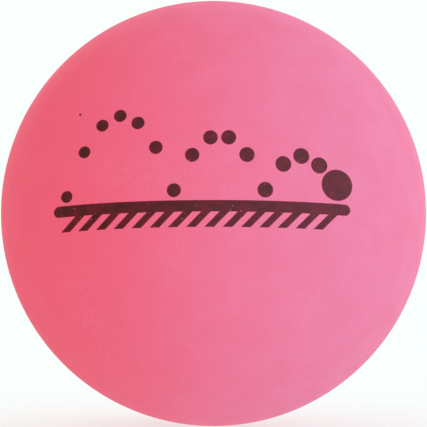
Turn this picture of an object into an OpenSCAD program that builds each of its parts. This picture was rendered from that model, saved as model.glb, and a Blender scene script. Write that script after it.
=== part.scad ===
// Hollow bouncy ball of rubber: two moulded half shells, cemented rim to rim into one
// sealed, gas-filled sphere, with a bouncing-ball pictogram printed on the front.
// The origin is the centre of the ball, +Z is up and the print faces -Y.
// The seam lies in the XZ plane, so that it runs round the outline of the front view.

/* [Ball] */
// Outside diameter of the ball
ball_d = 60; // [50:0.5:70]
// Thickness of the rubber wall
wall = 3.5; // [2.5:0.1:6]

/* [Seam] */
// Thickness of the cement between the two rims
cement_t = 0.3; // [0.1:0.05:0.5]
// Width of the buffed groove along the seam, at the surface
groove_w = 0.9; // [0.6:0.05:2]
// Depth of the groove, down to the edge of the cement
groove_depth = 0.15; // [0.05:0.05:0.5]
// Width of the cement bead that is squeezed out inside the ball
bead_w = 3; // [2.4:0.1:5]
// Height of the bead above the inside wall
bead_h = 0.8; // [0.4:0.05:1]

/* [Print] */
// Thickness of the ink film
ink_t = 0.08; // [0.05:0.01:0.15]
// Angle from the front up to the axis that the print is pressed on along
print_lift = 6; // [0:1:30]
// Distance from that axis up to the middle of the print
print_up = 3.2; // [0:0.1:6]
// Distance from that axis to the middle of the print, towards the left
print_left = 1.6; // [0:0.1:4]

/* [Printed trail] */
// Number of hops in the trail
hops = 3; // [2:1:4]
// Steps in the first hop, where each later hop has one fewer
first_hop_steps = 6; // [5:1:7]
// Height of the first hop
hop_h = 10.5; // [6:0.5:14]
// Sideways step from one dot of the trail to the next
dot_step = 2.4; // [2.2:0.1:2.8]
// Diameter of the first dot of the trail
first_dot_d = 1.6; // [0.8:0.1:1.8]
// Diameter of the last dot of the trail
last_dot_d = 2.2; // [1.2:0.1:2.2]
// Diameter of the ball at the end of the trail
printed_ball_d = 4.2; // [2.4:0.1:4.4]
// Gap between the ground line and what rests on it
rest_gap = 0.4; // [0.2:0.05:1]

/* [Printed ground] */
// Thickness of the ground line
line_t = 1.5; // [0.6:0.1:2]
// Length of the ground line past the middle of the first dot and of the printed ball
line_overhang = 1.8; // [1:0.1:3]
// Distance from one stroke under the ground line to the next
stroke_pitch = 2.4; // [1.8:0.1:3.2]
// Height of the strokes below the ground line
stroke_drop = 2; // [1:0.1:3]
// Thickness of a stroke
stroke_t = 0.9; // [0.4:0.1:1]
// Lean of a stroke from upright
stroke_lean = 45; // [20:5:60]

/* [Hidden] */
$fn = 128;

rubber_pink = "#f0779c";
cement_pink = "#cf556c";
ink_brown = "#65262e";

ball_r = ball_d / 2;
cavity_r = ball_r - wall;
cement_r = ball_r - groove_depth;

// The bead's section is a circle through its crest and the two edges of its foot
bead_crest_r = cavity_r - bead_h;
bead_foot_r = sqrt(cavity_r ^ 2 - (bead_w / 2) ^ 2);
bead_rise = bead_foot_r - bead_crest_r;
bead_arc_r = ((bead_w / 2) ^ 2 + bead_rise ^ 2) / (2 * bead_rise);

// Dots are as far apart in time as in a strobe picture: even steps sideways, and a
// height under gravity that follows the square of the hop's own number of steps
function hop_steps(hop) = first_hop_steps - hop;
function steps_before(hop) = hop == 0 ? 0 : steps_before(hop - 1) + hop_steps(hop - 1);
function hop_rise(hop, step) =
    let (share = step / hop_steps(hop), top = hop_h * (hop_steps(hop) / first_hop_steps) ^ 2)
    4 * top * share * (1 - share);

trail_steps = steps_before(hops);
trail_w = trail_steps * dot_step;
function dot_d(count) = first_dot_d + (last_dot_d - first_dot_d) * count / (trail_steps - 1);

// The middle of the print's height is the middle of the print
print_h = stroke_drop + line_t + rest_gap + hop_h + dot_d(first_hop_steps / 2);
ground_y = stroke_drop + line_t - print_h / 2;
function trail_x(count) = count * dot_step - trail_w / 2;
function rest_y(diameter) = ground_y + rest_gap + diameter / 2;

// Strokes start at the middle of the ground line and are centred along it
line_straight = trail_w + 2 * line_overhang - line_t;
stroke_h = stroke_drop + line_t / 2;
stroke_shift = stroke_h * tan(stroke_lean);
stroke_w = stroke_t / cos(stroke_lean);
stroke_count = 1 + floor((line_straight - stroke_shift - stroke_w) / stroke_pitch);
stroke_row_w = (stroke_count - 1) * stroke_pitch + stroke_shift + stroke_w;

// Turns a shape made round +Z so that it points along +Y
module along_y() {
    rotate([-90, 0, 0]) children();
}

// The groove's section, drawn past the surface so that it cuts cleanly
module groove_section() {
    flare = (groove_w - cement_t) / 2 / groove_depth;
    reach = 2 * groove_depth;
    polygon([
        [cement_r, cement_t / 2],
        [cement_r, -cement_t / 2],
        [cement_r + reach, -cement_t / 2 - flare * reach],
        [cement_r + reach, cement_t / 2 + flare * reach],
    ]);
}

// One moulded cup, open towards the seam, with its rim buffed flat for the cement
module half_shell() {
    color(rubber_pink) difference() {
        sphere(r = ball_r);
        sphere(r = cavity_r);
        translate([-ball_d, -ball_d, cement_t / 2 - 2 * ball_d]) cube(2 * ball_d);
        rotate_extrude() groove_section();
    }
}

module front_half_shell() {
    mirror([0, 1, 0]) along_y() half_shell();
}

module rear_half_shell() {
    along_y() half_shell();
}

// The cured cement: a flat ring between the rims, and the bead squeezed out inside
module seam_cement() {
    color(cement_pink) along_y() union() {
        rotate_extrude() translate([bead_crest_r + bead_h / 2, -cement_t / 2])
            square([cement_r - bead_crest_r - bead_h / 2, cement_t]);
        intersection() {
            sphere(r = cavity_r);
            rotate_extrude() translate([bead_crest_r + bead_arc_r, 0]) circle(r = bead_arc_r);
        }
    }
}

// A flat outline laid on the ball as a pad prints it: straight along the print's axis
module ink_film() {
    color(ink_brown) rotate([90 - print_lift, 0, 0]) intersection() {
        difference() {
            sphere(r = ball_r + ink_t);
            sphere(r = ball_r);
        }
        linear_extrude(ball_d) translate([-print_left, print_up]) children();
    }
}

// Dots of the trail, which grow towards the ball that they lead to
module bounce_trail_print() {
    for (hop = [0:hops - 1], step = [0:hop_steps(hop) - 1]) {
        count = steps_before(hop) + step;
        ink_film() translate([trail_x(count), rest_y(dot_d(count)) + hop_rise(hop, step)])
            circle(d = dot_d(count));
    }
    ink_film() translate([trail_x(trail_steps), rest_y(printed_ball_d)]) circle(d = printed_ball_d);
}

// The ground that the trail bounces on: a line with round ends, and slanted strokes below it
module ground_line_print() {
    ink_film() translate([0, ground_y - line_t / 2]) {
        square([line_straight, line_t], center = true);
        for (side = [-1, 1]) translate([side * line_straight / 2, 0]) circle(d = line_t);
        for (stroke = [0:stroke_count - 1]) translate([stroke * stroke_pitch - stroke_row_w / 2, 0])
            polygon([
                [0, -stroke_h],
                [stroke_w, -stroke_h],
                [stroke_w + stroke_shift, 0],
                [stroke_shift, 0],
            ]);
    }
}

front_half_shell();
rear_half_shell();
seam_cement();
bounce_trail_print();
ground_line_print();
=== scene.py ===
"""Looks of the hollow bouncy ball.

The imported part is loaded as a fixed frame. Two moulded half shells, the cement of the seam
between them and the ink of the print are modelled on it, given their finishes, and shown on a
pale floor in soft studio light. Lengths are in metres, in the part's own frame: the origin is
the centre of the ball, +Z is up and the print faces -Y.
"""

from __future__ import annotations

import logging
import math
from collections.abc import Callable, Iterable
from dataclasses import dataclass
from enum import Enum
from functools import cache

import bpy
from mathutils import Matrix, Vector


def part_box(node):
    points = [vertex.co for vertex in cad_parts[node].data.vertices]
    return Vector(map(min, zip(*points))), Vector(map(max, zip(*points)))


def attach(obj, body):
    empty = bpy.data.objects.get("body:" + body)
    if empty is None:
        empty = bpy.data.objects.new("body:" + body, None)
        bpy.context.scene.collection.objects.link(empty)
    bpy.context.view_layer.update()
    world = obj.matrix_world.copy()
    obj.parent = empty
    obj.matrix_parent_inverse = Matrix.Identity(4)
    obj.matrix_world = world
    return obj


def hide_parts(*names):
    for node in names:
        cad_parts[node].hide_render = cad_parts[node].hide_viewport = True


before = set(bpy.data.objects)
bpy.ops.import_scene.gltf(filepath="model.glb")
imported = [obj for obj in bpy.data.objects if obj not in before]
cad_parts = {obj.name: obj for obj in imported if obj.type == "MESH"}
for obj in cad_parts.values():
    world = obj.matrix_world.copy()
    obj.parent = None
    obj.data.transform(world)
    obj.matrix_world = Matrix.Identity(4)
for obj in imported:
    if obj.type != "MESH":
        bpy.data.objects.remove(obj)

LOG = logging.getLogger("ball")
ROOT_BODY = "root"
PHOTO_PIXELS = 427
MM = 0.001
QUARTER_TURN = math.pi / 2
SHARP_EDGE = math.radians(40)
WELD = 0.001 * MM
PAD_INPUTS = ("Ball Radius", "Film", "Sink", "Edge Width", "Edge Wobble", "Wobble Size", "Lift")

Socket = bpy.types.NodeSocket
Piece = bpy.types.Object
Colour = tuple[float, float, float]
Span = tuple[float, float]

WHITE: Colour = (1.0, 1.0, 1.0)
COOL: Colour = (0.83, 1.0, 1.0)
WARM: Colour = (1.0, 0.86, 0.92)


class TreeKind(Enum):
    """The two kinds of node tree that are built here."""

    GEOMETRY = "GeometryNodeTree"
    SHADER = "ShaderNodeTree"

    @property
    def group_node(self) -> str:
        """Blender's name of the node that places a group of this kind."""
        return self.value.replace("Tree", "Group")


class SocketKind(Enum):
    """What a socket of a node group carries."""

    FLOAT = "NodeSocketFloat"
    VECTOR = "NodeSocketVector"
    GEOMETRY = "NodeSocketGeometry"
    MATERIAL = "NodeSocketMaterial"


class Side(Enum):
    """Which half of the ball a shell is, as the sign of its Y."""

    FRONT = -1
    REAR = 1


class Pattern(Enum):
    """Which noise makes a pattern, as the seed that keeps it the same in every run."""

    EDGE_ACROSS = 1.0
    EDGE_UP = 2.0
    GRAIN = 3.0
    MOTTLE = 7.0
    DUST_PATCHES = 11.0
    DUST_SPECKS = 13.0
    BUFF_REACH = 17.0
    BUFF_STREAKS = 19.0
    PINHOLES = 23.0
    # the drift of the painted light across the rubber
    PAINTED_LIGHT_DRIFT = 29.0


def math_operator(operation: str, swapped: bool = False) -> Callable[..., Number]:
    """Makes the method that stands for one of Python's operators.

    Args:
        operation: Blender's name of the operation.
        swapped: Whether the other number comes first.

    Returns:
        The method, which adds a Math node to the number's own tree.
    """

    def method(self: Number, *others: Value) -> Number:
        """The operation on this number and on the other, where there is one."""
        values = (*others, self) if swapped else (self, *others)
        return self.graph.math(operation, *values)

    return method


class Number:
    """A number in a node tree, written as in arithmetic; a comparison gives 1 where it holds, or 0."""

    def __init__(self, graph: Graph, socket: Socket) -> None:
        """Wraps the socket that carries the number."""
        self.graph = graph
        self.socket = socket

    __add__ = math_operator("ADD")
    __sub__ = math_operator("SUBTRACT")
    __rsub__ = math_operator("SUBTRACT", swapped=True)
    __mul__ = math_operator("MULTIPLY")
    __truediv__ = math_operator("DIVIDE")
    __rtruediv__ = math_operator("DIVIDE", swapped=True)
    __pow__ = math_operator("POWER")
    __abs__ = math_operator("ABSOLUTE")
    __lt__ = math_operator("LESS_THAN")
    __gt__ = math_operator("GREATER_THAN")


Value = bool | float | int | str | tuple[float, ...] | bpy.types.Material | Socket | Number


class Graph:
    """A node tree that is being wired."""

    def __init__(self, tree: bpy.types.NodeTree) -> None:
        """Starts on a tree that exists."""
        self.tree = tree

    def number(self, socket: Socket) -> Number:
        """A socket of this tree, as a number to reckon with."""
        return Number(self, socket)

    def feed(self, socket: Socket, value: Value) -> None:
        """Links a socket to another node's output, or sets its own value.

        Args:
            socket: The input socket.
            value: A number of this tree, an output socket, or what to set.
        """
        source = value.socket if isinstance(value, Number) else value
        if isinstance(source, Socket):
            self.tree.links.new(source, socket)
        else:
            socket.default_value = source

    def fill(self, sockets: Iterable[Socket], values: Iterable[Value]) -> None:
        """Feeds sockets with values, both in the same order."""
        for socket, value in zip(sockets, values):
            self.feed(socket, value)

    def add(
        self, kind: str, inputs: dict[str, Value] | None = None, **settings: Value | bpy.types.NodeTree
    ) -> bpy.types.Node:
        """Adds one node.

        Args:
            kind: Blender's name of the node's type.
            inputs: What its named inputs get.
            settings: What its own attributes get.

        Returns:
            The node.
        """
        node = self.tree.nodes.new(kind)
        for name, setting in settings.items():
            setattr(node, name, setting)
        for name, value in (inputs or {}).items():
            self.feed(node.inputs[name], value)
        return node

    def group(self, group: NodeGroup, inputs: dict[str, Value]) -> bpy.types.Node:
        """Places a node group in this tree, with what its named inputs get."""
        return self.add(group.kind.group_node, inputs, node_tree=group.tree)

    def math(self, operation: str, *values: Value) -> Number:
        """Adds a Math node.

        Args:
            operation: Blender's name of the operation.
            values: What its inputs get, in order.

        Returns:
            The result.
        """
        node = self.add("ShaderNodeMath", operation=operation)
        self.fill(node.inputs, values)
        return self.number(node.outputs["Value"])

    def vector(self, operation: str, *values: Value) -> Socket:
        """Adds a Vector Math node that makes a vector.

        Args:
            operation: Blender's name of the operation.
            values: What its inputs get, in order; a scale's second value is its factor.

        Returns:
            The result's socket.
        """
        node = self.add("ShaderNodeVectorMath", operation=operation)
        sockets = [node.inputs[0], node.inputs["Scale"]] if operation == "SCALE" else node.inputs
        self.fill(sockets, values)
        return node.outputs["Vector"]

    def length(self, vector: Value) -> Number:
        """How long a vector is."""
        node = self.add("ShaderNodeVectorMath", {"Vector": vector}, operation="LENGTH")
        return self.number(node.outputs["Value"])

    def split(self, vector: Value) -> list[Number]:
        """The X, Y and Z of a vector."""
        node = self.add("ShaderNodeSeparateXYZ", {"Vector": vector})
        return [self.number(part) for part in node.outputs]

    def join(self, x: Value, y: Value, z: Value) -> Socket:
        """A vector of three values."""
        return self.add("ShaderNodeCombineXYZ", {"X": x, "Y": y, "Z": z}).outputs["Vector"]

    def ramp(
        self, value: Value, low: Value, high: Value, start: Value = 0.0, end: Value = 1.0
    ) -> Number:
        """Maps a value smoothly from one span to another, and holds it at the ends.

        Args:
            value: What is mapped.
            low: Where the span starts.
            high: Where the span ends.
            start: The result at low and before.
            end: The result at high and after.

        Returns:
            The result.
        """
        node = self.add("ShaderNodeMapRange", interpolation_type="SMOOTHSTEP")
        self.fill(node.inputs, (value, low, high, start, end))
        return self.number(node.outputs["Result"])

    def noise(self, place: Value, size: float | Number, seed: Pattern | Number, detail: float) -> Number:
        """Adds a noise texture.

        Args:
            place: Where it is read.
            size: Length of one of its waves.
            seed: Which noise it is.
            detail: Octaves of finer noise.

        Returns:
            Its value, from 0 to 1.
        """
        which = seed.value if isinstance(seed, Pattern) else seed
        inputs = {"Vector": place, "W": which, "Scale": 1.0 / size, "Detail": detail}
        return self.number(self.add("ShaderNodeTexNoise", inputs, noise_dimensions="4D").outputs["Fac"])

    def sway(self, place: Value, size: float | Number, seed: Pattern | Number, detail: float) -> Number:
        """The same noise, swinging both ways from -1 to 1."""
        return self.noise(place, size, seed, detail) * 2.0 - 1.0

    def blend(self, share: Value, first: Socket, second: Socket) -> Socket:
        """Mixes two shaders.

        Args:
            share: Share of the second shader.
            first: The first shader's socket.
            second: The second shader's socket.

        Returns:
            The mixed shader's socket.
        """
        node = self.add("ShaderNodeMixShader")
        self.fill(node.inputs, (share, first, second))
        return node.outputs["Shader"]


class NodeGroup(Graph):
    """A node tree with named inputs and outputs."""

    def __init__(self, name: str, kind: TreeKind) -> None:
        """Starts an empty group.

        Args:
            name: The group's name.
            kind: Which kind of tree it is.
        """
        super().__init__(bpy.data.node_groups.new(name, kind.value))
        self.kind = kind
        self.source = self.tree.nodes.new("NodeGroupInput")
        self.sink = self.tree.nodes.new("NodeGroupOutput")

    def take_as(self, kind: SocketKind, name: str) -> Socket:
        """Adds a named input of one kind, and gives the socket that holds it inside the group."""
        self.tree.interface.new_socket(name, in_out="INPUT", socket_type=kind.value)
        return self.source.outputs[name]

    def take(self, *names: str) -> list[Number]:
        """Adds named inputs that carry numbers."""
        return [self.number(self.take_as(SocketKind.FLOAT, name)) for name in names]

    def give(self, name: str, value: Socket | Number, kind: SocketKind = SocketKind.FLOAT) -> None:
        """Adds a named output, and what it passes on."""
        self.tree.interface.new_socket(name, in_out="OUTPUT", socket_type=kind.value)
        self.feed(self.sink.inputs[name], value)


class MeshTree(NodeGroup):
    """A geometry tree, with the steps that more than one piece takes."""

    def __init__(self, name: str) -> None:
        """Starts an empty geometry tree."""
        super().__init__(name, TreeKind.GEOMETRY)

    def place(self) -> Socket:
        """Where each point is."""
        return self.add("GeometryNodeInputPosition").outputs["Position"]

    def recall(self, name: str, data_type: str = "FLOAT") -> Socket:
        """A value that is stored on the mesh."""
        node = self.add("GeometryNodeInputNamedAttribute", {"Name": name}, data_type=data_type)
        return node.outputs["Attribute"]

    def step(
        self, kind: str, geometry: Socket, inputs: dict[str, Value] | None = None, **settings: Value
    ) -> Socket:
        """Adds a node that takes a geometry and passes it on changed.

        Args:
            kind: Blender's name of the node's type, without the GeometryNode that it starts with.
            geometry: The geometry that it takes.
            inputs: What its other inputs get.
            settings: What its own attributes get.

        Returns:
            The changed geometry's socket.
        """
        node = self.add(f"GeometryNode{kind}", {"Geometry": geometry, **(inputs or {})}, **settings)
        return node.outputs["Geometry"]

    def slab(self, size: tuple[float, float, float], columns: int, rows: int) -> Socket:
        """A flat block of so many columns and rows of points, one cell high."""
        counts = {"Vertices X": columns, "Vertices Y": rows, "Vertices Z": 2}
        return self.add("GeometryNodeMeshCube", {"Size": size, **counts}).outputs["Mesh"]

    def repeat(self, shape: Socket, points: Socket, scale: Value = (1.0, 1.0, 1.0)) -> Socket:
        """Puts a shape on each point.

        Args:
            shape: The shape.
            points: The points.
            scale: The size of each copy, in shares of the shape's own.

        Returns:
            The copies as real meshes.
        """
        inputs = {"Points": points, "Instance": shape, "Scale": scale}
        copies = self.add("GeometryNodeInstanceOnPoints", inputs)
        return self.step("RealizeInstances", copies.outputs["Instances"])

    def give_mesh(self, geometry: Socket) -> None:
        """Ends the tree: smooth shading between sharp edges, real meshes and the material it takes.

        Args:
            geometry: What the tree has made.
        """
        smooth = self.step("SetShadeSmooth", geometry, domain="FACE")
        angle = self.number(self.add("GeometryNodeInputMeshEdgeAngle").outputs["Unsigned Angle"])
        creases = {"Selection": angle > SHARP_EDGE, "Shade Smooth": False}
        sharp = self.step("SetShadeSmooth", smooth, creases, domain="EDGE")
        real = self.step("RealizeInstances", sharp)
        material = self.take_as(SocketKind.MATERIAL, "Material")
        dressed = self.step("SetMaterial", real, {"Material": material})
        self.give("Geometry", dressed, SocketKind.GEOMETRY)


def linked(name: str, data: bpy.types.ID) -> Piece:
    """Adds an object to the scene.

    Args:
        name: The object's name.
        data: Its mesh, lamp or camera.

    Returns:
        The object.
    """
    made = bpy.data.objects.new(name, data)
    bpy.context.scene.collection.objects.link(made)
    return made


def baked(
    name: str, tree: MeshTree, inputs: dict[str, Value], start: bpy.types.Mesh | None = None
) -> Piece:
    """Runs a geometry tree and keeps what it makes as a plain mesh.

    Args:
        name: The new object's name.
        tree: The geometry tree.
        inputs: What the tree's named inputs get.
        start: The mesh that the tree starts from, if it takes one.

    Returns:
        An object at the origin, with its place in its mesh and no modifier.
    """
    piece = linked(name, start or bpy.data.meshes.new(name))
    modifier = piece.modifiers.new("build", "NODES")
    modifier.node_group = tree.tree
    for item in tree.tree.interface.items_tree:
        if item.in_out == "INPUT" and item.name in inputs:
            modifier[item.identifier] = inputs[item.name]
    made = piece.evaluated_get(bpy.context.evaluated_depsgraph_get())
    mesh = bpy.data.meshes.new_from_object(made)
    mesh.name = name
    piece.modifiers.remove(modifier)
    piece.data = mesh
    return piece


def settled(piece: Piece, node: str) -> Piece:
    """Puts a finished piece in its node's place.

    Args:
        piece: The piece.
        node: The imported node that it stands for.

    Returns:
        The same piece.
    """
    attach(piece, ROOT_BODY)
    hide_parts(node)
    return piece


@dataclass(frozen=True)
class BallSizes:
    """Sizes of the ball and its seam, read from the frame where it shows them."""

    radius: float
    rim_gap: float
    cement_radius: float
    bead_width: float
    wall: float = 3.5 * MM
    groove_width: float = 0.9 * MM
    bead_height: float = 0.8 * MM

    @classmethod
    def from_frame(cls) -> BallSizes:
        """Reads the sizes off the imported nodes.

        Returns:
            The sizes, with what the frame can't show at its named value.
        """
        shell_low, shell_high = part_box("rear_half_shell")
        cement_low, cement_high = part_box("seam_cement")
        return cls(
            radius=shell_high.y,
            rim_gap=shell_low.y,
            cement_radius=cement_high.x,
            bead_width=cement_high.y - cement_low.y,
        )

    @property
    def cavity_radius(self) -> float:
        """Radius of the hollow inside."""
        return self.radius - self.wall

    @property
    def groove_depth(self) -> float:
        """Depth of the seam's groove, down to the cement."""
        return self.radius - self.cement_radius


@dataclass(frozen=True)
class PrintPlate:
    """The flat plate that the print comes from, and where it meets the ball."""

    lift: float = math.radians(6)
    up: float = 3.2 * MM
    left: float = 1.6 * MM
    hops: int = 3
    first_hop_steps: int = 6
    hop_height: float = 10.5 * MM
    dot_step: float = 2.4 * MM
    first_dot: float = 1.6 * MM
    last_dot: float = 2.2 * MM
    printed_ball: float = 4.2 * MM
    rest_gap: float = 0.4 * MM
    line: float = 1.5 * MM
    line_overhang: float = 1.8 * MM
    stroke_pitch: float = 2.4 * MM
    stroke_drop: float = 2.0 * MM
    stroke: float = 0.9 * MM
    stroke_lean: float = math.radians(45)
    speck_across: float = -17.9 * MM
    speck_up: float = 11.1 * MM
    speck: float = 0.34 * MM

    def hop_steps(self, hop: int) -> int:
        """Steps in one hop, each hop having one fewer than the last."""
        return self.first_hop_steps - hop

    @property
    def trail_steps(self) -> int:
        """Steps in the whole trail."""
        return sum(self.hop_steps(hop) for hop in range(self.hops))

    @property
    def trail_width(self) -> float:
        """Width from the first dot's middle to the printed ball's."""
        return self.trail_steps * self.dot_step

    @property
    def line_length(self) -> float:
        """Length of the ground line over its round ends."""
        return self.trail_width + 2 * self.line_overhang

    @property
    def ground(self) -> float:
        """Height of the ground line's top above the middle of the print.

        Returns:
            The height, with the middle halfway up from the strokes' feet to the top dot.
        """
        top_dot = self.dot_size(self.first_hop_steps / 2)
        height = self.stroke_drop + self.line + self.rest_gap + self.hop_height + top_dot
        return self.stroke_drop + self.line - height / 2

    def dot_size(self, count: float) -> float:
        """Diameter of a dot of the trail, counted from the first."""
        return self.first_dot + (self.last_dot - self.first_dot) * count / (self.trail_steps - 1)

    def resting(self, count: int, diameter: float, rise: float) -> tuple[float, float, float]:
        """Where a dot lies on the plate.

        Args:
            count: Which step of the trail it is.
            diameter: The dot's diameter.
            rise: How far above its resting place it is.

        Returns:
            Its place across and up the plate, and its radius.
        """
        across = count * self.dot_step - self.trail_width / 2 - self.left
        return across, self.up + self.ground + self.rest_gap + diameter / 2 + rise, diameter / 2

    def dots(self) -> list[tuple[float, float, float]]:
        """Every dot of the trail, the ball at its end and a stray speck of ink.

        Returns:
            The place across and up the plate and the radius of each.
        """
        dots = []
        for hop in range(self.hops):
            steps = self.hop_steps(hop)
            top = self.hop_height * (steps / self.first_hop_steps) ** 2
            for step in range(steps):
                share = step / steps
                diameter = self.dot_size(len(dots))
                dots.append(self.resting(len(dots), diameter, 4 * top * share * (1 - share)))
        dots.append(self.resting(len(dots), self.printed_ball, 0.0))
        dots.append((self.speck_across, self.speck_up, self.speck / 2))
        return dots


@cache
def half_shell_tree() -> MeshTree:
    """The tree of one moulded half: an even ball of quads, cut at the seam, with its inner wall.

    Returns:
        The geometry tree.
    """
    cells = 96
    row_crowding = 1.6
    tree = MeshTree("half_shell")
    radius, cavity, side, gap = tree.take("Ball Radius", "Cavity Radius", "Side", "Rim Gap")
    groove_reach, groove_depth = tree.take("Groove Reach", "Groove Depth")
    relief_height, relief_size, seed = tree.take("Relief Height", "Relief Size", "Seed")

    counts = {f"Vertices {axis}": cells + 1 for axis in "XYZ"}
    cube = tree.add("GeometryNodeMeshCube", {"Size": (2.0, 2.0, 2.0), **counts})
    x, y, z = tree.split(tree.place())
    other_half = y * side < 0.0
    half = tree.step("DeleteGeometry", cube.outputs["Mesh"], {"Selection": other_half}, domain="FACE")

    spread = [tree.math("TANGENT", part * (QUARTER_TURN / 2)) for part in (x, y, z)]
    towards_x, towards_y, towards_z = tree.split(tree.vector("NORMALIZE", tree.join(*spread)))
    from_seam = tree.math("ARCSINE", tree.math("MAXIMUM", towards_y * side, 0.0))
    ring = {"Name": "ring", "Value": tree.vector("NORMALIZE", tree.join(towards_x, 0.0, towards_z))}
    share = {"Name": "share", "Value": (from_seam / QUARTER_TURN) ** row_crowding}
    marked = tree.step("StoreNamedAttribute", half, ring, data_type="FLOAT_VECTOR")
    marked = tree.step("StoreNamedAttribute", marked, share)
    kept_ring = tree.recall("ring", "FLOAT_VECTOR")
    kept_share = tree.number(tree.recall("share"))

    def towards(rim_radius: Number) -> Socket:
        """The way out to each point of a wall.

        Args:
            rim_radius: Radius of the wall at its rim.

        Returns:
            A vector of length 1.
        """
        rim = tree.math("ARCSINE", gap / rim_radius)
        angle = kept_share * (QUARTER_TURN - rim) + rim
        flat = tree.vector("SCALE", kept_ring, tree.math("COSINE", angle))
        return tree.vector("ADD", flat, tree.join(0.0, side * tree.math("SINE", angle), 0.0))

    outward = towards(radius - groove_depth)
    height = radius * abs(tree.split(outward)[1])
    dip = tree.ramp(height, gap, groove_reach, groove_depth, 0.0)
    waves = tree.sway(tree.vector("SCALE", outward, radius / relief_size), 1.0, seed, detail=2.0)
    swell = waves * relief_height * tree.ramp(height, gap, groove_reach)
    surface = tree.vector("SCALE", outward, radius - dip + swell)
    outer = tree.step("SetPosition", marked, {"Position": surface})

    walls = tree.add(
        "GeometryNodeExtrudeMesh",
        {"Mesh": outer, "Offset Scale": cavity - radius, "Individual": False},
    )
    lining = tree.vector("SCALE", towards(cavity), cavity)
    inner = tree.step(
        "SetPosition", walls.outputs["Mesh"], {"Selection": walls.outputs["Top"], "Position": lining}
    )
    turned = tree.add("GeometryNodeFlipFaces", {"Mesh": inner})
    both = tree.add("GeometryNodeJoinGeometry")
    for part in (outer, turned.outputs["Mesh"]):
        tree.feed(both.inputs["Geometry"], part)
    clean = tree.step("MergeByDistance", both.outputs["Geometry"], {"Distance": WELD})
    for name in ("ring", "share"):
        clean = tree.step("RemoveAttribute", clean, {"Name": name})
    tree.give_mesh(clean)
    return tree


@cache
def seam_tree() -> MeshTree:
    """The tree of the cement: its section swept round the seam, with an uneven outer edge.

    Returns:
        The geometry tree, which starts from the section as a loop of edges.
    """
    steps_round = 480
    tree = MeshTree("seam_ring")
    section = tree.take_as(SocketKind.GEOMETRY, "Geometry")
    ring_radius, edge_reach = tree.take("Ring Radius", "Edge Reach")
    wobble, wobble_size, seed = tree.take("Edge Wobble", "Wobble Size", "Seed")

    profile = tree.add("GeometryNodeMeshToCurve", {"Mesh": section})
    circle = tree.add(
        "GeometryNodeCurvePrimitiveCircle", {"Resolution": steps_round, "Radius": ring_radius}
    )
    swept = tree.add(
        "GeometryNodeCurveToMesh",
        {"Curve": circle.outputs["Curve"], "Profile Curve": profile.outputs["Curve"]},
    )
    stood = tree.step("Transform", swept.outputs["Mesh"], {"Rotation": (-QUARTER_TURN, 0.0, 0.0)})
    place = tree.place()
    x, _, z = tree.split(place)
    flat = tree.join(x, 0.0, z)
    edge = tree.ramp(tree.length(flat), ring_radius - edge_reach, ring_radius)
    push = tree.sway(place, wobble_size, seed, detail=3.0) * wobble * edge
    offset = tree.vector("SCALE", tree.vector("NORMALIZE", flat), push)
    tree.give_mesh(tree.step("SetPosition", stood, {"Offset": offset}))
    return tree


@cache
def pad_print_group() -> MeshTree:
    """The group that lays a flat ink shape on the ball, straight along the print's axis.

    The shape lies across X and Y, with its underside at a Z of -0.5 and its top at 0.5. How near a
    point is to the shape's edge, from 0 to 1, is kept on the mesh as ink_edge.

    Returns:
        The geometry group.
    """
    side_wall = 0.5
    half_depth = 0.5
    group = MeshTree("pad_print")
    shape = group.take_as(SocketKind.GEOMETRY, "Geometry")
    radius, film, sink, edge_width, wobble, wobble_size, lift = group.take(*PAD_INPUTS)

    facing = group.split(group.add("GeometryNodeInputNormal").outputs["Normal"])[2]
    walls = group.add(
        "GeometryNodeSeparateGeometry",
        {"Geometry": shape, "Selection": abs(facing) < side_wall},
        domain="FACE",
    )
    nearest = group.add("GeometryNodeProximity", {"Geometry": walls.outputs["Selection"]})
    nearness = group.ramp(nearest.outputs["Distance"], 0.0, edge_width, 1.0, 0.0)
    marked = group.step("StoreNamedAttribute", shape, {"Name": "ink_edge", "Value": nearness})
    edge = group.number(group.recall("ink_edge"))
    flat_across, flat_up, layer = group.split(group.place())
    spot = group.join(flat_across, flat_up, 0.0)

    def strayed(part: Number, seed: Pattern) -> Number:
        """One part of a point's place on the plate, strayed a little at the shape's edge."""
        return group.sway(spot, wobble_size, seed, detail=2.0) * edge * wobble + part

    across = strayed(flat_across, Pattern.EDGE_ACROSS)
    up = strayed(flat_up, Pattern.EDGE_UP)
    crown = film * (1.0 - edge**2)
    height = (layer + half_depth) * (crown + sink) - sink
    reach = (radius + height) ** 2 - (across**2 + up**2)
    out = group.math("SQRT", group.math("MAXIMUM", reach, 0.0))
    sine = group.math("SINE", lift)
    cosine = group.math("COSINE", lift)
    landed = group.join(across, up * sine - out * cosine, up * cosine + out * sine)
    laid = group.step("SetPosition", marked, {"Position": landed})
    group.give("Geometry", laid, SocketKind.GEOMETRY)
    return group


def give_print(tree: MeshTree, shape: Socket) -> None:
    """Ends an ink tree: adds the pad print's inputs to it and lays its shape on the ball.

    Args:
        tree: The tree.
        shape: The flat ink shape.
    """
    inputs = dict(zip(PAD_INPUTS, tree.take(*PAD_INPUTS)))
    laid = tree.group(pad_print_group(), {"Geometry": shape, **inputs})
    tree.give_mesh(laid.outputs["Geometry"])


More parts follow.
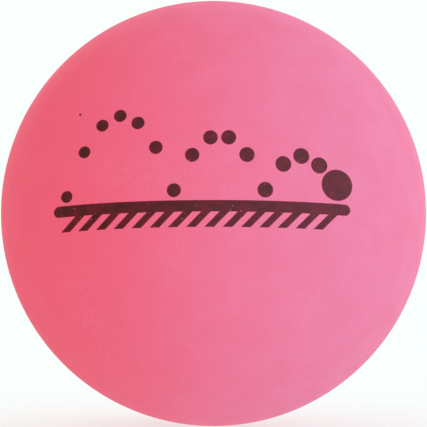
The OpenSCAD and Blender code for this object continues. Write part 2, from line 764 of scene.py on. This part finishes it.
@cache
def ink_dots_tree() -> MeshTree:
    """The tree of the printed trail: one round dot on each point of a mesh, of its own radius.

    Returns:
        The geometry tree, which starts from points that hold their dot_radius.
    """
    sides = 64
    rings = 8
    tree = MeshTree("ink_dots")
    points = tree.take_as(SocketKind.GEOMETRY, "Geometry")
    disc = tree.add(
        "GeometryNodeMeshCylinder",
        {"Vertices": sides, "Side Segments": 1, "Fill Segments": rings, "Radius": 1.0, "Depth": 1.0},
        fill_type="TRIANGLE_FAN",
    )
    radius = tree.recall("dot_radius")
    dots = tree.repeat(disc.outputs["Mesh"], points, tree.join(radius, radius, 1.0))
    give_print(tree, tree.step("RemoveAttribute", dots, {"Name": "dot_radius"}))
    return tree


@cache
def ink_ground_tree() -> MeshTree:
    """The tree of the printed ground: a line with round ends and a row of slanted strokes under it.

    Returns:
        The geometry tree.
    """
    tree = MeshTree("ink_ground")
    middle_x, middle_y, length, thickness = tree.take(
        "Middle X", "Middle Y", "Line Length", "Line Thickness"
    )
    pitch, drop, stroke, lean = tree.take(
        "Stroke Pitch", "Stroke Drop", "Stroke Thickness", "Stroke Lean"
    )
    x, y, z = tree.split(tree.place())

    half_line = thickness * 0.5
    half_length = length * 0.5
    straight = half_length - half_line
    along = half_length * tree.math("SINE", x * QUARTER_TURN)
    past = tree.math("MAXIMUM", abs(along) - straight, 0.0)
    across = y * tree.math("SQRT", tree.math("MAXIMUM", half_line**2 - past**2, 0.0))
    bar = tree.slab((2.0, 2.0, 1.0), columns=181, rows=11)
    bar_place = tree.join(along + middle_x, across + middle_y, z)
    line = tree.step("SetPosition", bar, {"Position": bar_place})
    closed = tree.step("MergeByDistance", line, {"Distance": WELD})

    stroke_height = drop + half_line
    shift = stroke_height * tree.math("TANGENT", lean)
    stroke_width = stroke / tree.math("COSINE", lean)
    footprint = shift + stroke_width
    gaps = tree.math("FLOOR", (straight * 2.0 - footprint) / pitch)
    row = gaps * pitch + footprint
    right = x + 0.5
    upright = y + 0.5
    slanted = upright * shift + right * stroke_width
    hung = upright * stroke_height - stroke_height
    block = tree.slab((1.0, 1.0, 1.0), columns=9, rows=17)
    one_stroke = tree.step("SetPosition", block, {"Position": tree.join(slanted, hung, z)})
    posts = tree.add(
        "GeometryNodeMeshLine",
        {
            "Count": gaps + 1.0,
            "Start Location": tree.join(middle_x - row * 0.5, middle_y, 0.0),
            "Offset": tree.join(pitch, 0.0, 0.0),
        },
    )
    strokes = tree.repeat(one_stroke, posts.outputs["Mesh"])
    united = tree.add("GeometryNodeMeshBoolean", operation="UNION", solver="MANIFOLD")
    for part in (closed, strokes):
        tree.feed(united.inputs["Mesh 2"], part)
    give_print(tree, tree.step("MergeByDistance", united.outputs["Mesh"], {"Distance": WELD}))
    return tree


@cache
def rubber_grain_group() -> NodeGroup:
    """The group of the moulded rubber's grain, which also shows through ink and cement.

    Returns:
        The shader group, with the relief's height, the grain by itself, a slow mottle and the pits,
        all from 0 to 1.
    """
    grain_span: Span = (0.35, 0.65)
    mottle_span: Span = (0.3, 0.7)
    pit_span: Span = (0.05, 0.28)
    pit_rarity = 0.62
    pit_depth = 0.5
    group = NodeGroup("rubber_grain", TreeKind.SHADER)
    place = group.take_as(SocketKind.VECTOR, "Place")
    grain_size, pit_size, mottle_size = group.take("Grain Size", "Pit Size", "Mottle Size")

    fine = group.noise(place, grain_size, Pattern.GRAIN, detail=3.0)
    slow = group.noise(place, mottle_size, Pattern.MOTTLE, detail=4.0)
    cells = group.add(
        "ShaderNodeTexVoronoi", {"Vector": place, "Scale": 1.0 / pit_size, "Randomness": 1.0}
    )
    chosen = group.split(cells.outputs["Color"])[0] > pit_rarity
    pits = group.ramp(cells.outputs["Distance"], *pit_span, 1.0, 0.0) * chosen
    group.give("Height", fine - pits * pit_depth)
    group.give("Grain", group.ramp(fine, *grain_span))
    group.give("Mottle", group.ramp(slow, *mottle_span))
    group.give("Pits", pits)
    return group


@cache
def dust_group() -> NodeGroup:
    """The group of the pale bloom and dust that handling leaves on rubber and ink.

    Returns:
        The shader group, with a mask from 0, clean, to 1.
    """
    patch_span: Span = (0.42, 0.72)
    speck_span: Span = (0.4, 0.68)
    group = NodeGroup("dust_bloom", TreeKind.SHADER)
    place = group.take_as(SocketKind.VECTOR, "Place")
    patch_size, speck_size = group.take("Patch Size", "Speck Size")
    patches = group.noise(place, patch_size, Pattern.DUST_PATCHES, detail=3.0)
    specks = group.noise(place, speck_size, Pattern.DUST_SPECKS, detail=2.0)
    group.give("Dust", group.ramp(patches, *patch_span) * group.ramp(specks, *speck_span))
    return group


@dataclass(frozen=True)
class GrainSizes:
    """How coarse the rubber's grain is."""

    grain: float = 0.16 * MM
    pit: float = 1.3 * MM
    mottle: float = 4.0 * MM
    dust_patch: float = 9.0 * MM
    dust_speck: float = 0.5 * MM


class Surface(Graph):
    """A material in the making: its tree, its shader, and the grain and dust that lie on it."""

    def __init__(self, name: str, sizes: GrainSizes) -> None:
        """Starts a material with the grain and the dust placed in it.

        Args:
            name: The material's name.
            sizes: How coarse its grain is.
        """
        self.material = bpy.data.materials.new(name)
        self.material.use_nodes = True
        super().__init__(self.material.node_tree)
        self.shader = self.tree.nodes["Principled BSDF"]
        self.place = self.add("ShaderNodeTexCoord").outputs["Object"]
        grain_inputs = {
            "Place": self.place,
            "Grain Size": sizes.grain,
            "Pit Size": sizes.pit,
            "Mottle Size": sizes.mottle,
        }
        dust_inputs = {
            "Place": self.place,
            "Patch Size": sizes.dust_patch,
            "Speck Size": sizes.dust_speck,
        }
        grain = self.group(rubber_grain_group(), grain_inputs)
        dust = self.group(dust_group(), dust_inputs)
        self.relief = self.number(grain.outputs["Height"])
        self.grain = self.number(grain.outputs["Grain"])
        self.mottle = self.number(grain.outputs["Mottle"])
        self.pits = self.number(grain.outputs["Pits"])
        self.dust = self.number(dust.outputs["Dust"])

    def mix(self, share: Value, first: Colour | Socket, second: Colour | Socket) -> Socket:
        """Mixes two colours.

        Args:
            share: Share of the second colour.
            first: A colour or a socket.
            second: A colour or a socket.

        Returns:
            The mixed colour's socket.
        """
        node = self.add("ShaderNodeMix", data_type="RGBA")
        sockets = {socket.identifier: socket for socket in (*node.inputs, *node.outputs)}
        self.feed(sockets["Factor_Float"], share)
        for name, colour in (("A_Color", first), ("B_Color", second)):
            self.feed(sockets[name], colour if isinstance(colour, Socket) else (*colour, 1.0))
        return sockets["Result_Color"]

    def paint(self, ground: Colour | Socket, *layers: tuple[Number, Colour]) -> Socket:
        """Lays colours over a ground, one after the other.

        Args:
            ground: The colour below them.
            layers: The share and the colour of each layer.

        Returns:
            The final colour's socket.
        """
        colour = ground
        for share, tone in layers:
            colour = self.mix(share, colour, tone)
        return colour

    def set(self, **values: Value) -> None:
        """Sets or links the shader's own sockets, named with _ for a space."""
        for name, value in values.items():
            self.feed(self.shader.inputs[name.replace("_", " ")], value)

    def bump(self, height: Value, depth: float) -> None:
        """Gives the surface a relief, from a height of 0 to 1 that is so many metres deep."""
        node = self.add("ShaderNodeBump", {"Strength": 1.0, "Distance": depth, "Height": height})
        self.set(Normal=node.outputs["Normal"])


@dataclass(frozen=True)
class RubberFinish:
    """Tumbled pink rubber with painted light, paler towards +X, and a little paler at the buffed seam.
    """

    # painted light and shade: the deeper, warmer tone lies towards -X and the paler, cooler tone towards
    # +X
    painted_shade_tone: Colour = (0.880, 0.084, 0.148)
    painted_light_tone: Colour = (0.826, 0.200, 0.377)
    shade: Colour = (0.78, 0.10, 0.17)
    bloom: Colour = (0.90, 0.42, 0.52)
    buffed: Colour = (0.90, 0.40, 0.52)
    # where the painted light runs from the deeper tone to the paler one, along X
    painted_light_start: float = -27 * MM
    painted_light_end: float = 20 * MM
    painted_light_drift: float = 3 * MM
    drift_size: float = 16 * MM
    shade_share: float = 0.16
    bloom_share: float = 0.10
    powder_share: float = 0.09
    # painted shade in the pits
    pit_shade_share: float = 0.08
    buff_share: float = 0.02
    streak_share: float = 0.34
    buff_reach: float = 2.6 * MM
    buff_size: float = 3 * MM
    buff_core: float = 0.45
    streak_length: float = 2.4 * MM
    streak_width: float = 0.09 * MM
    streak_relief: float = 0.8
    roughness: float = 0.68
    mottle_roughness: float = 0.1
    dust_roughness: float = 0.12
    buff_roughness: float = 0.12
    specular: float = 0.2
    grain_depth: float = 0.02 * MM
    grain: GrainSizes = GrainSizes()

    @cache
    def material(self) -> bpy.types.Material:
        """The finish as a material.

        Returns:
            The material, made once.
        """
        surface = Surface("tumbled_pink_rubber", self.grain)
        x, y, z = surface.split(surface.place)
        # painted light: the colour runs from the deeper tone at -X to the paler, cooler tone at +X, with
        # a little drift
        drift = surface.sway(surface.place, self.drift_size, Pattern.PAINTED_LIGHT_DRIFT, detail=1.0)
        painted_light = surface.ramp(drift * self.painted_light_drift + x, self.painted_light_start, self.painted_light_end)
        uneven = surface.noise(surface.place, self.buff_size, Pattern.BUFF_REACH, detail=2.0)
        reach = uneven * self.buff_reach + self.buff_reach / 2
        band = surface.ramp(abs(y), reach * self.buff_core, reach, 1.0, 0.0)
        round_seam = surface.join(
            x / self.streak_length, y / self.streak_width, z / self.streak_length
        )
        streaks = surface.noise(round_seam, 1.0, Pattern.BUFF_STREAKS, detail=2.0)

        colour = surface.paint(
            surface.mix(painted_light, self.painted_shade_tone, self.painted_light_tone),
            (surface.mottle * self.shade_share, self.shade),
            (surface.dust * self.bloom_share, self.bloom),
            (surface.grain * self.powder_share, self.bloom),
            (band * (streaks * self.streak_share + self.buff_share), self.buffed),
            # painted shade: the pits are drawn towards the darker shade tone
            (surface.pits * self.pit_shade_share, self.shade),
        )
        rough = surface.mottle * self.mottle_roughness + self.roughness
        rough = surface.dust * self.dust_roughness + rough
        rough = band * self.buff_roughness + rough
        surface.set(Base_Color=colour, Roughness=rough, Specular_IOR_Level=self.specular)
        surface.bump(streaks * band * self.streak_relief + surface.relief, self.grain_depth)
        return surface.material


@dataclass(frozen=True)
class CementFinish:
    """Cured rubber cement, darker and smoother than the shells, with dust caught in it."""

    fresh: Colour = (0.58, 0.070, 0.125)
    aged: Colour = (0.68, 0.105, 0.175)
    dust: Colour = (0.76, 0.30, 0.38)
    dust_share: float = 0.25
    roughness: float = 0.38
    dust_roughness: float = 0.3
    specular: float = 0.45
    grain_depth: float = 0.015 * MM
    grain: GrainSizes = GrainSizes(grain=0.25 * MM, mottle=2.2 * MM, dust_patch=4 * MM)

    @cache
    def material(self) -> bpy.types.Material:
        """The finish as a material.

        Returns:
            The material, made once.
        """
        surface = Surface("cured_cement", self.grain)
        colour = surface.paint(
            self.fresh, (surface.mottle, self.aged), (surface.dust * self.dust_share, self.dust)
        )
        rough = surface.dust * self.dust_roughness + self.roughness
        surface.set(Base_Color=colour, Roughness=rough, Specular_IOR_Level=self.specular)
        surface.bump(surface.relief, self.grain_depth)
        return surface.material


@dataclass(frozen=True)
class InkFinish:
    """Dark brown pad-printing ink, a thin film with some pinholes and painted light, paler towards +X.
    """

    body: Colour = (0.046, 0.0050, 0.0035)
    thin: Colour = (0.185, 0.0045, 0.012)
    painted_light_tone: Colour = (0.300, 0.0950, 0.155)
    rubber: Colour = (0.55, 0.09, 0.14)
    mottle_share: float = 0.5
    # painted light: the ink turns towards a paler tone along X, as the rubber does
    painted_light_start: float = RubberFinish.painted_light_start
    painted_light_end: float = RubberFinish.painted_light_end
    painted_light_share: float = 0.23
    rim_span: Span = (0.1, 0.9)
    rim_share: float = 0.8
    pinhole_size: float = 0.3 * MM
    pinhole_span: Span = (0.68, 0.76)
    pinhole_share: float = 0.7
    roughness: float = 0.5
    dust_roughness: float = 0.25
    specular: float = 0.1
    grain_depth: float = 0.016 * MM
    grain: GrainSizes = GrainSizes(mottle=1.6 * MM)

    @cache
    def material(self) -> bpy.types.Material:
        """The finish as a material.

        Returns:
            The material, made once.
        """
        surface = Surface("pad_print_ink", self.grain)
        edge = surface.add("ShaderNodeAttribute", attribute_name="ink_edge").outputs["Fac"]
        rim = surface.ramp(edge, *self.rim_span)
        # painted light: the ink is paler towards +X
        painted_light = surface.ramp(surface.split(surface.place)[0], self.painted_light_start, self.painted_light_end)
        specks = surface.noise(surface.place, self.pinhole_size, Pattern.PINHOLES, detail=1.0)
        pinholes = surface.ramp(specks, *self.pinhole_span)
        colour = surface.paint(
            self.body,
            (surface.mottle * self.mottle_share, self.thin),
            (rim * self.rim_share, self.thin),
            (painted_light * self.painted_light_share, self.painted_light_tone),
            (pinholes * self.pinhole_share, self.rubber),
        )
        rough = surface.dust * self.dust_roughness + self.roughness
        surface.set(Base_Color=colour, Roughness=rough, Specular_IOR_Level=self.specular)
        surface.bump(surface.relief, self.grain_depth)
        return surface.material


@dataclass
class RubberShells:
    """The two moulded half shells."""

    sizes: BallSizes
    finish: RubberFinish = RubberFinish()
    relief_height: float = 0.010 * MM
    relief_size: float = 2.6 * MM
    relief_seed: float = 5.0

    def half(self, node: str, side: Side) -> Piece:
        """Makes one half and puts it in its node's place.

        Args:
            node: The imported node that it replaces.
            side: Which half it is.

        Returns:
            The finished piece.
        """
        sizes = self.sizes
        inputs = {
            "Ball Radius": sizes.radius,
            "Cavity Radius": sizes.cavity_radius,
            "Side": float(side.value),
            "Rim Gap": sizes.rim_gap,
            "Groove Reach": sizes.groove_width / 2,
            "Groove Depth": sizes.groove_depth,
            "Relief Height": self.relief_height,
            "Relief Size": self.relief_size,
            "Seed": self.relief_seed + side.value,
            "Material": self.finish.material(),
        }
        piece = baked(f"{node}_rubber", half_shell_tree(), inputs)
        return settled(piece, node)

    def build(self) -> list[Piece]:
        """Makes both halves."""
        return [self.half("front_half_shell", Side.FRONT), self.half("rear_half_shell", Side.REAR)]


@dataclass
class SeamCement:
    """The cement between the rims, with the bead that it leaves along the inside wall."""

    sizes: BallSizes
    finish: CementFinish = CementFinish()
    bulge: float = 0.03 * MM
    edge_reach: float = 0.4 * MM
    wobble: float = 0.025 * MM
    wobble_size: float = 0.8 * MM
    wobble_seed: float = 3.0
    arc_steps: int = 12

    def section(self) -> bpy.types.Mesh:
        """Draws the ring's section, out along X from the ring and across along Y.

        Returns:
            A closed loop of edges.
        """
        edge_radius = self.sizes.cement_radius
        cavity = self.sizes.cavity_radius
        gap = self.sizes.rim_gap
        half_bead = self.sizes.bead_width / 2
        foot = math.sqrt(cavity**2 - half_bead**2)
        crest = cavity - self.sizes.bead_height
        rise = foot - crest
        arc = (half_bead**2 + rise**2) / (2 * rise)
        sweep = math.asin(half_bead / arc)
        wall_foot = math.asin(half_bead / cavity)
        wall_web = math.asin(gap / cavity)
        shares = [step / self.arc_steps for step in range(self.arc_steps + 1)]
        edge = [
            (edge_radius + self.bulge * math.sin(share * math.pi), gap * (2 * share - 1))
            for share in shares
        ]
        turns = [wall_web + (wall_foot - wall_web) * share for share in shares]
        wall = [(cavity * math.cos(turn), cavity * math.sin(turn)) for turn in turns]
        bends = [sweep * (1 - 2 * share) for share in shares]
        bead = [(crest + arc * (1 - math.cos(bend)), arc * math.sin(bend)) for bend in bends]
        back = [(out, -across) for out, across in reversed(wall)]
        loop = edge + wall + bead[1:-1] + back
        mesh = bpy.data.meshes.new("seam_section")
        corners = [(out - edge_radius, across, 0.0) for out, across in loop]
        edges = [(index, (index + 1) % len(loop)) for index in range(len(loop))]
        mesh.from_pydata(corners, edges, [])
        return mesh

    def build(self) -> list[Piece]:
        """Makes the ring.

        Returns:
            The finished piece, in a list.
        """
        inputs = {
            "Ring Radius": self.sizes.cement_radius,
            "Edge Reach": self.edge_reach,
            "Edge Wobble": self.wobble,
            "Wobble Size": self.wobble_size,
            "Seed": self.wobble_seed,
            "Material": self.finish.material(),
        }
        piece = baked("seam_cement_ring", seam_tree(), inputs, self.section())
        return [settled(piece, "seam_cement")]


@dataclass
class FrontPrint:
    """The ink of the printed pictogram: a ball's trail of hops over hatched ground."""

    sizes: BallSizes
    plate: PrintPlate = PrintPlate()
    finish: InkFinish = InkFinish()
    film: float = 0.05 * MM
    sink: float = 0.03 * MM
    edge_width: float = 0.22 * MM
    wobble: float = 0.03 * MM
    wobble_size: float = 0.45 * MM

    def pad_inputs(self) -> dict[str, Value]:
        """What every ink tree gets for the way that the pad lays it on.

        Returns:
            The values, by the names of the trees' inputs.
        """
        return {
            "Ball Radius": self.sizes.radius,
            "Film": self.film,
            "Sink": self.sink,
            "Edge Width": self.edge_width,
            "Edge Wobble": self.wobble,
            "Wobble Size": self.wobble_size,
            "Lift": self.plate.lift,
            "Material": self.finish.material(),
        }

    def trail(self) -> Piece:
        """Makes the dots of the trail and the ball at its end.

        Returns:
            The finished piece.
        """
        dots = self.plate.dots()
        points = bpy.data.meshes.new("trail_points")
        points.from_pydata([(across, up, 0.0) for across, up, _ in dots], [], [])
        radius = points.attributes.new("dot_radius", "FLOAT", "POINT")
        for spot, (_, _, size) in zip(radius.data, dots):
            spot.value = size
        piece = baked("bounce_trail_ink", ink_dots_tree(), self.pad_inputs(), points)
        return settled(piece, "bounce_trail_print")

    def ground(self) -> Piece:
        """Makes the ground line and its strokes.

        Returns:
            The finished piece.
        """
        plate = self.plate
        inputs = {
            "Middle X": -plate.left,
            "Middle Y": plate.up + plate.ground - plate.line / 2,
            "Line Length": plate.line_length,
            "Line Thickness": plate.line,
            "Stroke Pitch": plate.stroke_pitch,
            "Stroke Drop": plate.stroke_drop,
            "Stroke Thickness": plate.stroke,
            "Stroke Lean": plate.stroke_lean,
        }
        piece = baked("ground_line_ink", ink_ground_tree(), {**inputs, **self.pad_inputs()})
        return settled(piece, "ground_line_print")

    def build(self) -> list[Piece]:
        """Makes both ink pieces."""
        return [self.trail(), self.ground()]


@dataclass(frozen=True)
class Softbox:
    """One large soft lamp, aimed at the ball."""

    name: str
    place: tuple[float, float, float]
    width: float
    height: float
    power: float
    tint: Colour

    def build(self) -> Piece:
        """Hangs the lamp.

        Returns:
            The lamp, unseen by the camera.
        """
        data = bpy.data.lights.new(self.name, "AREA")
        data.shape = "ELLIPSE"
        data.size = self.width
        data.size_y = self.height
        data.energy = self.power
        data.color = self.tint
        lamp = linked(self.name, data)
        lamp.location = self.place
        lamp.rotation_euler = (-Vector(self.place)).to_track_quat("-Z", "Y").to_euler()
        lamp.visible_camera = False
        return lamp


@dataclass
class Studio:
    """The pale floor, the light round the ball and the camera."""

    sizes: BallSizes
    lamps: tuple[Softbox, ...] = (
        Softbox("key_right", (0.50, -0.38, 0.16), 0.50, 0.50, 0.72, COOL),
        Softbox("fill_left", (-0.36, -0.30, 0.46), 0.50, 0.50, 0.42, WARM),
        Softbox("front_strip", (0.0, -0.60, 0.0), 0.90, 0.05, 0.26, WHITE),
        Softbox("rim_right", (0.45, 0.25, 0.12), 0.40, 0.40, 0.59, COOL),
        Softbox("top_back", (0.05, 0.30, 0.55), 0.50, 0.50, 0.30, WARM),
        Softbox("back", (-0.10, 0.66, 0.16), 0.50, 0.50, 1.00, WHITE),
    )
    ambient: float = 0.775
    ambient_tint: Colour = WHITE
    backdrop: Colour = (0.95, 1.0, 0.975)
    floor_tone: Colour = (0.92, 0.93, 0.925)
    floor_roughness: float = 0.9
    floor_specular: float = 0.1
    floor_translucence: float = 0.95
    floor_lift: float = 0.65
    floor_near: float = 0.03
    floor_far: float = 0.12
    floor_radius: float = 3.0
    floor_sides: int = 96
    camera_distance: float = 0.40
    outline_pixels: float = 212.6
    sensor: float = 36.0
    near_clip: float = 0.01

    def seen(self, graph: Graph) -> Number:
        """Whether a ray is one that shows the background: seen straight, mirrored or through glass.

        Args:
            graph: The tree that asks.

        Returns:
            1 for such a ray, and 0 for one that lights the ball.
        """
        path = graph.add("ShaderNodeLightPath")
        straight = graph.math("MAXIMUM", path.outputs["Is Camera Ray"], path.outputs["Is Glossy Ray"])
        return graph.math("MAXIMUM", straight, path.outputs["Is Transmission Ray"])

    def world(self) -> None:
        """Surrounds the ball with even light, in front of a pale backdrop."""
        world = bpy.data.worlds.new("studio")
        world.use_nodes = True
        bpy.context.scene.world = world
        graph = Graph(world.node_tree)
        light = world.node_tree.nodes["Background"]
        graph.feed(light.inputs["Color"], (*self.ambient_tint, 1.0))
        graph.feed(light.inputs["Strength"], self.ambient)
        shown = graph.add("ShaderNodeBackground", {"Color": (*self.backdrop, 1.0), "Strength": 1.0})
        surface = graph.blend(self.seen(graph), light.outputs["Background"], shown.outputs["Background"])
        graph.feed(world.node_tree.nodes["World Output"].inputs["Surface"], surface)

    def floor_material(self) -> bpy.types.Material:
        """The floor's finish: pale where it is seen, with the ball's shadow, and lit through from below.

        Returns:
            The material.
        """
        material = bpy.data.materials.new("pale_floor")
        material.use_nodes = True
        graph = Graph(material.node_tree)
        matte = material.node_tree.nodes["Principled BSDF"]
        graph.feed(matte.inputs["Base Color"], (*self.floor_tone, 1.0))
        graph.feed(matte.inputs["Roughness"], self.floor_roughness)
        graph.feed(matte.inputs["Specular IOR Level"], self.floor_specular)
        glow = graph.add("ShaderNodeEmission", {"Color": (*self.backdrop, 1.0), "Strength": 1.0})
        through = graph.add("ShaderNodeBsdfTranslucent", {"Color": (*WHITE, 1.0)})
        from_ball = graph.length(graph.add("ShaderNodeTexCoord").outputs["Object"])
        lift = graph.ramp(from_ball, self.floor_near, self.floor_far, self.floor_lift, 1.0)
        shown = graph.blend(lift, matte.outputs["BSDF"], glow.outputs["Emission"])
        lit = graph.blend(self.floor_translucence, matte.outputs["BSDF"], through.outputs["BSDF"])
        surface = graph.blend(self.seen(graph), lit, shown)
        graph.feed(material.node_tree.nodes["Material Output"].inputs["Surface"], surface)
        return material

    def floor(self) -> Piece:
        """Lays the floor that the ball rests on.

        Returns:
            The floor.
        """
        mesh = bpy.data.meshes.new("floor")
        reach = self.floor_radius
        low = -self.sizes.radius
        turns = [2 * math.pi * step / self.floor_sides for step in range(self.floor_sides)]
        rim = [(reach * math.cos(turn), reach * math.sin(turn), low) for turn in turns]
        mesh.from_pydata(rim, [], [range(self.floor_sides)])
        mesh.materials.append(self.floor_material())
        floor = linked("floor", mesh)
        return floor

    def camera(self) -> Piece:
        """Sets up the camera so that the ball fills the frame as it does in the photograph.

        Returns:
            The camera.
        """
        data = bpy.data.cameras.new("photo_camera")
        outline = math.tan(math.asin(self.sizes.radius / self.camera_distance))
        half_frame = outline * (PHOTO_PIXELS / 2) / self.outline_pixels
        data.sensor_width = self.sensor
        data.lens = self.sensor / 2 / half_frame
        data.clip_start = self.near_clip
        camera = linked("photo_camera", data)
        camera.location = (0.0, -self.camera_distance, 0.0)
        camera.rotation_euler = (QUARTER_TURN, 0.0, 0.0)
        bpy.context.scene.camera = camera
        return camera

    def build(self) -> None:
        """Sets the stage."""
        bpy.context.scene.view_settings.view_transform = "Standard"
        self.world()
        self.floor()
        for lamp in self.lamps:
            lamp.build()
        self.camera()


def main() -> None:
    """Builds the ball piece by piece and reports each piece."""
    logging.basicConfig(level=logging.INFO, format="%(name)s: %(message)s")
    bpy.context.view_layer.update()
    sizes = BallSizes.from_frame()
    for assembly in (RubberShells(sizes), SeamCement(sizes), FrontPrint(sizes)):
        for piece in assembly.build():
            LOG.info("%s: %d faces", piece.name, len(piece.data.polygons))
    Studio(sizes).build()


if __name__ == "__main__":
    main()
